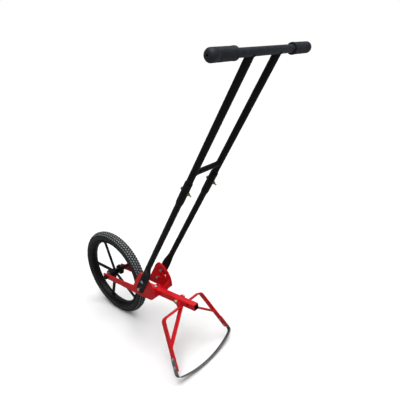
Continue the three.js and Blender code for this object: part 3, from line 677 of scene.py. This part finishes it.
def show_wheel():
    paint_tread_highlight_and_shade(show_node("tyre", tyre_shape(), CHASSIS, "wheel", "tyre_rubber", 50))

    lip, well = (164, 16.5), (150, 7)
    outer = [lip, (156.3, 16.5), (153.5, 12.6), well]
    wall = [(151.8, 6.3), (155.2, 12.0), (157.3, 14.7), (164, 14.7)]
    both = [*outer, *[(r, -y) for r, y in reversed(outer)]]
    both += [*[(r, -y) for r, y in reversed(wall)], *wall]
    radii = [0.8, 2, 3, 5, 5, 3, 2, 0.8, 0.8, 1.5, 2, 4, 4, 2, 1.5, 0.8]
    rim = moved(turned(fillet(both, radii, 4), 192), ACROSS)
    valve_turn = spin("Y", 90 - VALVE_ANGLE)
    valve_hole = moved(rod(4.2, 140, 160, 24), valve_turn)
    show_node("rim", cut(rim, valve_hole), CHASSIS, "wheel", "black_paint", 40)

    tube_ring = [(176 + 13.2 * math.cos(a), 13.2 * math.sin(a)) for a in np.arange(24) * math.pi / 12]
    stem = [(0.8, 122), (2.2, 122.2), (2.6, 127), (2.6, 131), (3, 131.5), (3, 165), (0.8, 165)]
    stem = turned(fillet(stem, [0, 0.3, 0.3, 0.2, 0.2, 0, 0], 2, closed=False), 32, loop=False)
    tube = join(moved(turned(tube_ring, 128), ACROSS), moved(stem, valve_turn))
    show_node("inner_tube", tube, CHASSIS, "wheel", "tube_rubber", 40)

    half = [(13, 17), (23, 22.6), (23, 33), (16.3, 33), (16.3, 22.7), (8.5, 22.7)]
    hub = [*half, *[(r, -y) for r, y in reversed(half)]]
    hub_radii = [3, 2, 1.6, 0.6, 0.4, 0.6] + [0.6, 0.4, 0.6, 1.6, 2, 3]
    shell = moved(turned(fillet(hub, hub_radii, 5), 96), ACROSS)
    show_node("hub_shell", shell, CHASSIS, "wheel", "black_paint", 40)

    bearing = [(16, 23), (16, 33), (13.9, 33), (13.5, 32.3), (9.5, 32.3), (9.1, 33), (6.3, 33), (6.3, 23)]
    race = moved(turned(fillet(bearing, [0.6, 0.6, 0.2, 0.2, 0.2, 0.2, 0.4, 0.4], 2), 72), ACROSS)
    show_pair("hub_bearing", race, CHASSIS, "wheel", "bright_steel")
    for i in range(1, 6):
        show_spoke(f"spoke_{i}")


def show_spoke(node):
    """A flat bar with its edges rolled and a weld swelling at each end."""
    middle = corners(node, CHASSIS).mean(0)
    turn = spin("Y", math.degrees(math.atan2(middle[0], middle[2])))
    low, high = local_box(node, CHASSIS @ turn)
    half_width, half_thickness = high[0], high[1]
    rings = []
    ends = np.linspace(low[2] - 1, low[2] + 9, 11), np.linspace(high[2] - 9, high[2] + 1, 11)
    for z in np.concatenate(ends):
        near_end = min(z - low[2], high[2] - z)
        swell = 3.2 * math.exp(-((max(near_end, 0) / 3.2) ** 2)) * (1 + 0.15 * math.cos(2.6 * z))
        w, t = half_width + 0.6 * swell, half_thickness + swell
        section = box_section(w, t, min(t, 1.2 + 0.7 * swell) * 0.95, 4)
        rings.append(np.column_stack([section, np.full(len(section), z)]))
    show_node(node, skin(rings), CHASSIS @ turn, "wheel", "black_paint", 40)


def show_axle():
    own = CHASSIS @ ACROSS
    low, high = local_box("axle", own)
    size = AXLE_THREAD
    r, end = size["shank"], high[2]
    upper = [(r, end - size["thread"])] + thread(r, end - size["thread"], end - 1.2, size["pitch"])
    upper += [(r, end - 1.1), (r - 1.1, end)]
    axle = turned([(radius, -z) for radius, z in reversed(upper)] + upper, 48, loop=False)
    show_node("axle", axle, own, "chassis", "dark_steel", 30)
    for name, side in SIDES:
        facing = CHASSIS @ spin("X", -90 * side)
        show_fastener(f"axle_nut_{name}", hex_nut, size, facing, "chassis", "black_paint")
    low, high = local_box("axle_spacer_left", own)
    spacer = moved(ring_shape(high[0], 6.3, low[2], high[2], 0.8), ACROSS)
    show_pair("axle_spacer", spacer, CHASSIS, "chassis", "black_paint")


# ---- Fork and tool bar ----

ARM = {"top": 15.5, "bottom": -8.5, "front": 19}
BELLY = ((-110, -9.5), (-190, -13.5), (-296, -14))
QUADRANT = {"radius": 84, "top": 112, "rear": 190}
CLAMP = {"radius": 56.2, "half_width": 4.5, "start": 119.94, "end": 154.94}
TAB_END = -302.4  # where the bent-in rear tab meets the side of the tool bar


def fork_outline(x, z):
    """The side outline of a fork plate whose handle pivots at (x, z)."""
    quadrant = arc(x, z, QUADRANT["radius"], QUADRANT["rear"], QUADRANT["top"], 28)
    crown = curve_to(quadrant[-1], (-251, 105.8), (-234.6, 82))
    notch = curve_to((-196, 26), (-192, 20), (-184, 20), 6)
    nose = fillet([(-184, 20), (ARM["front"], ARM["top"]), (ARM["front"], ARM["bottom"]), (-110, -9.5)],
                  5, 6, closed=False)
    belly = fillet([(-110, -9.5), *BELLY[1:], quadrant[0]], [0, 60, 6, 0], 5, closed=False)
    return np.concatenate([nose[1:-1], belly[:-1], quadrant, crown[1:], notch])


def clamp_slot(x, z):
    radius, half, start, end = (CLAMP[key] for key in ("radius", "half_width", "start", "end"))
    ends = [arc(x, z, radius, angle, angle, 0)[0] for angle in (start, end)]
    return np.concatenate([
        arc(x, z, radius + half, start, end, 16), arc(*ends[1], half, end, end + 180, 10)[1:-1],
        arc(x, z, radius - half, end, start, 16), arc(*ends[0], half, start + 180, start + 360, 10)[1:-1],
    ])


def show_fork():
    outer = local_box("fork_plate_left", CHASSIS)[1][1]
    inner = outer - 5
    pivot, _, _ = on_own_axis("pivot_bolt_left", CHASSIS @ ACROSS)
    spot = (CHASSIS.inverted() @ pivot).translation
    x, z = spot.x, spot.z
    holes = [arc(0, 0, 6.3, 0, 345, 23), arc(x, z, 4.3, 0, 345, 23), clamp_slot(x, z)]
    sheet = plate(fork_outline(x, z), holes, inner, outer, 0.7)
    bar_side = local_box("tool_bar", CHASSIS)[1][1]
    path = [(-300, inner + 2.5), (-313.6, inner + 2.5), (TAB_END, bar_side + 0.1)]
    path = fillet(path, 7, 8, closed=False)
    along = np.gradient(path, axis=0)
    along /= np.linalg.norm(along, axis=1, keepdims=True)
    reach = np.append(0, np.cumsum(np.linalg.norm(np.diff(path, axis=0), axis=1)))
    share = np.clip((reach - reach[-1] + 38) / 38, 0, 1)
    rings = []
    for point, way, t in zip(path, along, share):
        top, bottom = 38 + (11.5 - 38) * t, 3 + (-11.5 - 3) * t
        side = np.array([-way[1], way[0]])
        section = fillet([(2.3, bottom), (2.3, top), (-2.3, top), (-2.3, bottom)], 0.7, 2)
        rings.append([(*(point + side * s), h) for s, h in section])
    plate_and_tab = join(sheet, skin(rings))
    show_pair("fork_plate", plate_and_tab, CHASSIS, "chassis", "red_paint", 30)
    for name, side in SIDES:
        for label, offset in (("front", 2.2), ("rear", -2.4)):
            spots = [(TAB_END + offset, side * (bar_side + 0.5), h) for h in np.linspace(-10.5, 10.5, 22)]
            show(f"tab_weld_{name}_{label}", bead(spots, 1.7), CHASSIS, "chassis", "red_paint", crease=60)


def show_tool_bar():
    low, high = local_box("tool_bar", CHASSIS)
    half, wall = high[1], 2
    spots = {name: on_own_axis(name, turn)[0] for name, turn in (
        ("tool_bar_bolt", CHASSIS), ("stirrup_pivot_bolt", CHASSIS @ ACROSS))}

    def square(x, size, radius):
        section = box_section(size, size, radius, 6)
        return np.column_stack([np.full(len(section), x), section])

    rings = [square(low[0] + 0.5, half, 2.5), square(high[0] - 0.5, half, 2.5)]
    rings += [square(high[0], half - 0.4, 2.3), square(high[0], half - wall + 0.3, 1)]
    rings += [square(high[0] - 0.4, half - wall, 0.8)]
    rings += [square(low[0] + 0.4, half - wall, 0.8), square(low[0], half - wall + 0.3, 1)]
    rings += [square(low[0], half - 0.4, 2.3)]
    upright = moved(rod(4.3, -20, 20), CHASSIS.inverted() @ spots["tool_bar_bolt"])
    pivot = moved(rod(4.3, -20, 20), CHASSIS.inverted() @ spots["stirrup_pivot_bolt"])
    spare = moved(rod(5.3, -20, 20), ACROSS, shift(-461.5, 0, 2))
    bar = cut(skin(rings, loop=True), upright, pivot, spare)
    # The faces inside the bar get dark steel: partly its unpainted bore, partly painted shade for the darkness
    # inside the tube.
    inside = half - wall + 0.2
    shown = show_node("tool_bar", bar, CHASSIS, "chassis", "red_paint", 30)
    repaint(shown, CHASSIS, ["dark_steel"],
            lambda place, _: "dark_steel" if max(abs(place.y), abs(place.z)) < inside else None)

    show_saddle_plate()
    show_fastener("tool_bar_bolt", hex_bolt, M8, CHASSIS, "chassis", "zinc")
    show_fastener("tool_bar_nut", hex_nut, M8, CHASSIS @ spin("X", 180), "chassis", "zinc")
    own = CHASSIS @ ACROSS
    show_bolted("stirrup_pivot", "", M8, own, "chassis", "yellow_zinc")
    for name, side in SIDES:
        facing = CHASSIS @ spin("X", -90 * side)
        show_bolted("pivot", f"_{name}", M8, facing, "chassis", "zinc")
        washer, low, high = on_own_axis(f"stirrup_washer_{name}", facing)
        shape = ring_shape(8.5, 4.3, low, high)
        show_node(f"stirrup_washer_{name}", shape, washer, "chassis", "yellow_zinc")


def show_saddle_plate():
    """The flat plate under the tool bar, welded in between the fork plates."""
    low, high = local_box("saddle_plate", CHASSIS)
    bolt, _, _ = on_own_axis("tool_bar_bolt", CHASSIS)
    spot = (CHASSIS.inverted() @ bolt).translation
    outline = fillet([(high[0], high[1]), (low[0], high[1]), (low[0], low[1]), (high[0], low[1])], 2, 4)
    sheet = plate(outline, [arc(spot.x, spot.y, 4.3, 0, 345, 23)], -high[2], -low[2], 0.5)
    show_node("saddle_plate", moved(sheet, ACROSS), CHASSIS, "chassis", "red_paint", 30)
    for name, side in SIDES:
        seam = [(x, side * high[1], low[2] + 0.2) for x in np.linspace(low[0] + 5, high[0] - 5, 60)]
        show(f"saddle_weld_{name}", bead(seam, 1.6), CHASSIS, "chassis", "red_paint", crease=60)


# ---- Handle ----

TUBE = {"radius": 11.1, "wall": 2}
SOCKET = {"radius": 13.3, "bore": 11.55, "bottom": 533.5, "top": 618.5, "taper": 15}
FOOT = {"x": -2.5, "half_width": 18.5, "toe": 16, "half_thickness": 2.1, "offset": 55.1, "flat_top": 100,
        "round_bottom": 164}
JOINT_HEIGHT = 583
CLAMP_HEIGHT = 56.2


def oval(x, y, z, a, b, squareness, count=64):
    """A ring between an ellipse (squareness 1) and a flat strip (squareness near 0)."""
    angle = (np.arange(count) + 0.5) * 2 * math.pi / count
    c, s = np.cos(angle), np.sin(angle)
    return np.column_stack([
        x + a * np.sign(c) * np.abs(c) ** squareness, y + b * np.sign(s) * np.abs(s) ** squareness,
        np.full(count, z),
    ])


def lower_tube_shape(spread):
    """The left lower tube: flattened foot, round shaft, and a swaged socket on top."""
    radius, wall = TUBE["radius"], TUBE["wall"]

    def foot(t, z, thin=0.0):
        def mix(flat, full):
            return flat + (full - flat) * t

        a, b = mix(FOOT["half_width"], radius) - thin, mix(FOOT["half_thickness"], radius) - thin
        return oval(mix(FOOT["x"], 0), mix(FOOT["offset"], spread), z, a, b, mix(0.3, 1))

    def pipe(z, size):
        return oval(0, spread, z, size, size, 1)

    change = [(ease(t), FOOT["flat_top"] + t * (FOOT["round_bottom"] - FOOT["flat_top"]))
              for t in np.linspace(0, 1, 15)]
    toe = [oval(FOOT["x"], FOOT["offset"], -FOOT["toe"] * math.sin(a), FOOT["half_width"] * math.cos(a),
                FOOT["half_thickness"] * (0.55 + 0.45 * math.cos(a)), 0.3)
           for a in np.radians([86, 76, 64, 50, 36, 22, 10])]
    bottom, top, taper, bore = (SOCKET[key] for key in ("bottom", "top", "taper", "bore"))
    neck = [(bottom - taper * (1 - t), radius + (SOCKET["radius"] - radius) * ease(t))
            for t in np.linspace(0, 1, 8)]
    lip = [(top - 0.7, SOCKET["radius"]), (top, SOCKET["radius"] - 0.6)]
    shaft = [pipe(z, size) for z, size in neck + lip]
    outside = skin(toe + [foot(0, 0)] + [foot(t, z) for t, z in change] + shaft)
    bored = [(bottom - taper, radius - wall), (bottom, bore), (top - 1.2, bore), (top + 4, bore + 2.6)]
    hollow = skin([foot(t, z, wall) for t, z in change[6:]] + [pipe(z, size) for z, size in bored])
    across = [moved(rod(4.3, 40, 70), ACROSS, shift(0, 0, z)) for z in (0, CLAMP_HEIGHT)]
    through = moved(rod(3.3, -20, 20), AHEAD, shift(0, spread, JOINT_HEIGHT))
    return cut(outside, hollow, *across, through)


def upper_tube_shape(spread, bar_height):
    radius, bottom = TUBE["radius"], SOCKET["top"] - 82
    bore = radius - TUBE["wall"]
    profile = [(radius, bottom + 0.5), (radius, bar_height), (bore, bar_height)]
    profile += [(bore, bottom), (radius - 0.5, bottom)]
    tube = turned(profile, 64)
    saddle = moved(rod(11.4, -20, 20, 96), ACROSS, shift(0, 0, bar_height))
    through = moved(rod(3.3, -20, 20), AHEAD, shift(0, 0, JOINT_HEIGHT))
    return moved(cut(tube, saddle, through), shift(0, spread, 0))


GRIP = {"radius": 15.6, "cap": 16, "collar": 16.6, "bore": 11.4, "cap_length": 28, "relief": 0.55}


def grip_shape(low, high):
    """The left grip: rounded collar, rows of small raised dots, smooth cap with a domed end."""
    around, dots = 120, 30
    turn = np.arange(around) * 2 * math.pi / around
    rings = []

    def ring(radius, y):
        radius = np.broadcast_to(radius, around)
        rings.append(np.column_stack([radius * np.cos(turn), np.full(around, y), radius * np.sin(turn)]))

    ring(GRIP["bore"], low)
    collar = [(14, low), (GRIP["collar"], low), (GRIP["collar"], low + 6.5), (GRIP["radius"], low + 8)]
    for radius, y in fillet(collar, [0, 2, 1.2, 0], 5, closed=False):
        ring(radius, y)
    start, end = low + 8.6, high - GRIP["cap_length"]
    rows = int((end - start) / 3.0)
    pitch = (end - start) / rows
    for row in range(rows):
        phase = 0.5 * (row % 2)
        across = np.abs((turn * dots / (2 * math.pi) + phase) % 1 - 0.5) * 2
        lift = np.clip(1.6 - 2 * across, 0, 1)
        for step, share in ((0.12, 0), (0.35, 0.85), (0.5, 1), (0.65, 0.85), (0.88, 0)):
            ring(GRIP["radius"] + GRIP["relief"] * lift * share, start + (row + step) * pitch)
    ring(GRIP["radius"], end)
    ring(GRIP["cap"], end + 0.6)
    vent, rise = 2.6, 12  # radius of the small hole in the end, and height of the domed end
    dome = high - rise
    ring(GRIP["cap"], dome)
    for a in np.radians([12, 24, 36, 48, 60, 70, 78]):
        ring(vent + (GRIP["cap"] - vent) * math.cos(a), dome + rise * math.sin(a))
    for radius, y in ((3.2, high), (vent, high - 0.6), (vent, high - 6), (GRIP["bore"], high - 6.7)):
        ring(radius, y)
    return skin(rings, loop=True)


def show_handle():
    low, high = local_box("t_bar", HANDLE)
    bar_height, half_bar, bar_radius = (low[2] + high[2]) / 2, high[1], (high[0] - low[0]) / 2
    own, _, _ = on_own_axis("joint_bolt_left", HANDLE @ AHEAD)
    spread = (HANDLE.inverted() @ own).translation.y
    at_bar = shift(0, 0, bar_height)

    show_pair("lower_tube", lower_tube_shape(spread), HANDLE, "handle", "black_paint", 30)
    show_pair("upper_tube", upper_tube_shape(spread, bar_height), HANDLE, "handle", "black_paint", 30)
    bar = ring_shape(bar_radius, bar_radius - 2, -half_bar, half_bar)
    show_node("t_bar", moved(bar, ACROSS, at_bar), HANDLE, "handle", "grip_rubber")
    grip_box = local_box("grip_left", HANDLE)
    grip = moved(grip_shape(grip_box[0][1], grip_box[1][1]), at_bar)
    show_pair("grip", grip, HANDLE, "handle", "grip_rubber", 50)

    low, high = local_box("cross_brace", HANDLE)
    brace_height, brace_radius = (low[2] + high[2]) / 2, (high[0] - low[0]) / 2
    brace = moved(ring_shape(brace_radius, brace_radius - 1.5, -spread, spread, 0.2), ACROSS)
    notch = rod(TUBE["radius"] - 0.2, -20, 20, 64)
    notches = [moved(notch, shift(0, y, 0)) for y in (spread, -spread)]
    brace = moved(cut(brace, *notches), shift(0, 0, brace_height))
    show_node("cross_brace", brace, HANDLE, "handle", "black_paint")

    turn = np.arange(48) * 2 * math.pi / 48
    radius = TUBE["radius"]
    x = radius * np.cos(turn)
    below_bar = bar_height - np.sqrt(bar_radius ** 2 - x ** 2 * 0.98)
    saddle = np.column_stack([x, spread + radius * np.sin(turn), below_bar])
    x = brace_radius * np.cos(turn)
    beside_tube = spread - np.sqrt(radius ** 2 - x ** 2)
    collar = np.column_stack([x, beside_tube, brace_height + brace_radius * np.sin(turn)])
    for name, side in SIDES:
        for label, path in (("bar_weld", saddle), ("brace_weld", collar)):
            weld = bead(path * (1, side, 1), 1.6, loop=True)
            show(f"{label}_{name}", weld, HANDLE, "handle", "black_paint", crease=60)

    for name, side in SIDES:
        facing = HANDLE @ spin("X", -90 * side)
        show_bolted("clamp", f"_{name}", M8, facing, "handle", "zinc")
        show_bolted("joint", f"_{name}", JOINT_M6, HANDLE @ AHEAD, "handle", "yellow_zinc")


# ---- Stirrup hoe ----

FRAME_BAR = {"width": 24, "thickness": 5, "depth": 27.3, "half_top": 106.75, "end": 212, "bend": 18}
STRUT_END = 130  # depth of the point where a strut meets its arm
BLADE = {"top": 163, "corner": 235, "middle": 262.6, "arc": 480, "thickness": 3, "front": 10, "rear": -10}


def arm_slope():
    """Outward splay of the arms, from the line of the blade bolts."""
    upper, lower = (corners(f"blade_bolt_left_{row}", STIRRUP).mean(0) for row in ("upper", "lower"))
    return (lower[1] - upper[1]) / (upper[2] - lower[2])


SLOPE = arm_slope()


def arm_point(depth, outward, side):
    """A point on an arm's centre line, pushed outward, as (y, z)."""
    slant = math.hypot(1, SLOPE)
    y = FRAME_BAR["half_top"] + SLOPE * (depth - FRAME_BAR["depth"])
    return np.array([side * (y + outward / slant), -depth + outward * SLOPE / slant])


def facing_arm(side):
    """The stirrup's axes, turned so that +Z points straight out of an arm."""
    return STIRRUP @ spin("X", side * (math.degrees(math.atan(SLOPE)) - 90))


def arm_holes():
    """Rods through each arm where the blade bolts pass."""
    holes = []
    for name, side in SIDES:
        facing = facing_arm(side)
        for row in ("upper", "lower"):
            own, _, _ = on_own_axis(f"blade_bolt_{name}_{row}", facing)
            holes.append(moved(rod(3.2, 100, 210, 24), STIRRUP.inverted() @ own))
    return holes


def blade_path():
    """Up from the right arm, round the shallow arc of the cutting edge, to the left arm."""
    offset = FRAME_BAR["thickness"] / 2 + 0.3 + BLADE["thickness"] / 2
    half_chord = 130  # the arc's reach to either side, before the corners
    half = math.degrees(math.asin(half_chord / BLADE["arc"]))
    bottom = arc(0, BLADE["arc"] - BLADE["middle"], BLADE["arc"], -90 - half, -90 + half, 40)
    rounded = []
    for side, nearest, beyond in ((-1, bottom[0], bottom[1]), (1, bottom[-1], bottom[-2])):
        top, corner = (arm_point(BLADE[key], offset, side) for key in ("top", "corner"))
        leg = fillet([top, corner, nearest, beyond], [0, 26, 0, 0], 12, closed=False)[:-2]
        rounded.append(np.concatenate([[top + (corner - top) * t for t in (0, 0.3, 0.6)], leg[1:]]))
    return np.concatenate([rounded[0], bottom, rounded[1][::-1]])


def show_stirrup():
    ends = [arm_point(FRAME_BAR["end"], 0, side) for side in (1, -1)]
    bends = [arm_point(FRAME_BAR["depth"], 0, side) for side in (1, -1)]
    path = fillet([ends[0], bends[0], bends[1], ends[1]], FRAME_BAR["bend"], 12, closed=False)
    half_width, half = FRAME_BAR["width"] / 2, FRAME_BAR["thickness"] / 2

    def flat_bar(width):
        return box_section(width, half, 1.1, 3)

    bar = cut(strip(path, lambda i: flat_bar(half_width)), *arm_holes())
    show_node("stirrup_frame", bar, STIRRUP, "stirrup", "red_paint", 30)
    show_blade()

    start, end = np.array([6, -FRAME_BAR["depth"]]), arm_point(STRUT_END, 0, 1)
    strut = strip([end, start], lambda i: flat_bar(half_width - 0.4))
    show_pair("strut", strut, STIRRUP, "stirrup", "red_paint", 30)

    low, high = local_box("bracket_ear_left", STIRRUP)
    round_radius = high[2]
    sides = [(-round_radius, low[2] - 0.6), (round_radius, low[2] - 0.6)]
    outline = np.concatenate([arc(0, 0, round_radius, 0, 180, 24), sides])
    ear = plate(outline, [arc(0, 0, 4.3, 0, 345, 23)], low[1], high[1], 0.6)
    show_pair("bracket_ear", ear, STIRRUP, "stirrup", "red_paint", 30)
    show_stirrup_welds(low, high, start, end)

    for name, side in SIDES:
        facing = facing_arm(side)
        for row in ("upper", "lower"):
            show_bolted("blade", f"_{name}_{row}", M6, facing, "stirrup", "zinc", dome_bolt)


def show_stirrup_welds(ear_low, ear_high, start, end):
    """Beads where the ears meet the cross bar and the struts meet the bar and the arms."""
    along = (end - start) / np.linalg.norm(end - start)
    arm = np.array([SLOPE, -1]) / math.hypot(1, SLOPE)
    inner_face = end - 2.6 * np.array([1, SLOPE]) / math.hypot(1, SLOPE)
    under_bar = -FRAME_BAR["depth"] - 2.6
    spots = {
        "ear_outer": (ear_high[1] + 0.6, ear_low[2] + 0.2),
        "ear_inner": (ear_low[1] - 0.6, ear_low[2] + 0.2),
        "strut_arm_upper": tuple(inner_face - arm * 4.2),
        "strut_arm_lower": tuple(inner_face + arm * 3.2),
        "strut_bar_outer": tuple(start + along * (start[1] - under_bar) / -along[1] + (4.4, 0)),
    }
    for name, side in SIDES:
        for label, (y, z) in spots.items():
            line = [(x, side * y, z) for x in np.linspace(-9, 9, 20)]
            show(f"{label}_weld_{name}", bead(line, 1.5), STIRRUP, "stirrup", "red_paint", crease=60)


def show_blade():
    """A thin band, bolted to the arms, with both edges ground sharp along the bottom."""
    path = blade_path()
    half, front, rear = BLADE["thickness"] / 2, BLADE["front"], BLADE["rear"]

    ground_from = BLADE["corner"] - 14  # depth where the ground edges begin

    def section(i):
        ground = np.clip((-path[i][1] - ground_from) / 12, 0, 1)
        tip, width = -half + 0.3 + 2.0 * ground, 0.3 + 4.6 * ground
        return [(rear, half), (front, half), (front, tip),
                (front - width, -half), (rear + width, -half), (rear, tip)]

    def pick(place, normal):
        if place.z > -ground_from:
            return "bare_end"
        return "ground_edge" if abs(normal.x) > 0.25 else None

    band = cut(strip(path, section), *arm_holes())
    shown = show_node("blade", band, STIRRUP, "stirrup", "blade_steel", 25)
    repaint(shown, STIRRUP, ["ground_edge", "bare_end"], pick)


# ---- Studio ----

CAMERA_PLACE = (-1360.4, 870.6, 871.2)  # millimetres in the chassis axes
CAMERA_LOOK = (0.6318, -0.6971, -0.3389)
CAMERA_RIGHT = (-0.7602, -0.6427, -0.0951)
CAMERA_LENS = 34.2
WORLD = {"fill": 0.13, "backdrop": 1.0}


def show_camera():
    data = bpy.data.cameras.new("camera")
    data.lens = CAMERA_LENS
    data.sensor_width = 36
    data.clip_start, data.clip_end = 0.05, 60
    camera = bpy.data.objects.new("camera", data)
    bpy.context.scene.collection.objects.link(camera)
    turn = CHASSIS.to_3x3().normalized()
    back = -(turn @ Vector(CAMERA_LOOK)).normalized()
    right = (turn @ Vector(CAMERA_RIGHT)).normalized()
    camera.matrix_world = Matrix.Translation(CHASSIS @ Vector(CAMERA_PLACE)) @ Matrix(
        (right, back.cross(right), back)).transposed().to_4x4()
    bpy.context.scene.camera = camera


def show_light(name, kind, place, power, size):
    """A soft lamp aimed at the middle of the hoe; size is in metres, or degrees for a sun."""
    data = bpy.data.lights.new(name, kind)
    data.energy = power
    if kind == "SUN":
        data.angle = math.radians(size)
    else:
        data.shape = "DISK"
        data.size = size
    light = bpy.data.objects.new(name, data)
    light.location = place
    light.rotation_euler = (Vector(place) - Vector((0, 0, 0.4))).to_track_quat("Z", "Y").to_euler()
    bpy.context.scene.collection.objects.link(light)


def show_studio():
    floor = bpy.data.objects.new("floor", to_mesh(turned([(40, -0.02), (40, 0)], 64, loop=False), "floor"))
    floor.data.materials.append(floor_finish())
    floor.location.z = -0.001
    bpy.context.scene.collection.objects.link(floor)
    world = bpy.data.worlds.new("studio")
    world.use_nodes = True
    nodes = world.node_tree.nodes
    seen = nodes.new("ShaderNodeLightPath").outputs["Is Camera Ray"]
    level = nodes.new("ShaderNodeMapRange")
    level.inputs["To Min"].default_value = WORLD["fill"]
    level.inputs["To Max"].default_value = WORLD["backdrop"]
    world.node_tree.links.new(seen, level.inputs["Value"])
    world.node_tree.links.new(level.outputs[0], nodes["Background"].inputs["Strength"])
    nodes["Background"].inputs["Color"].default_value = (1, 1, 1, 1)
    bpy.context.scene.world = world
    show_light("key", "SUN", (-1.0, 1.2, 3.0), 1.2, 30)
    show_light("overhead", "SUN", (-0.3, -0.2, 3.0), 2.4, 50)
    show_light("softbox_left", "AREA", (-2.6, 2.4, 1.9), 6, 1.6)
    show_light("softbox_rear", "AREA", (2.2, -1.6, 1.8), 7, 1.6)
    bpy.context.scene.view_settings.view_transform = "Standard"


show_wheel()
show_axle()
show_fork()
show_tool_bar()
show_handle()
show_stirrup()
show_camera()
show_studio()
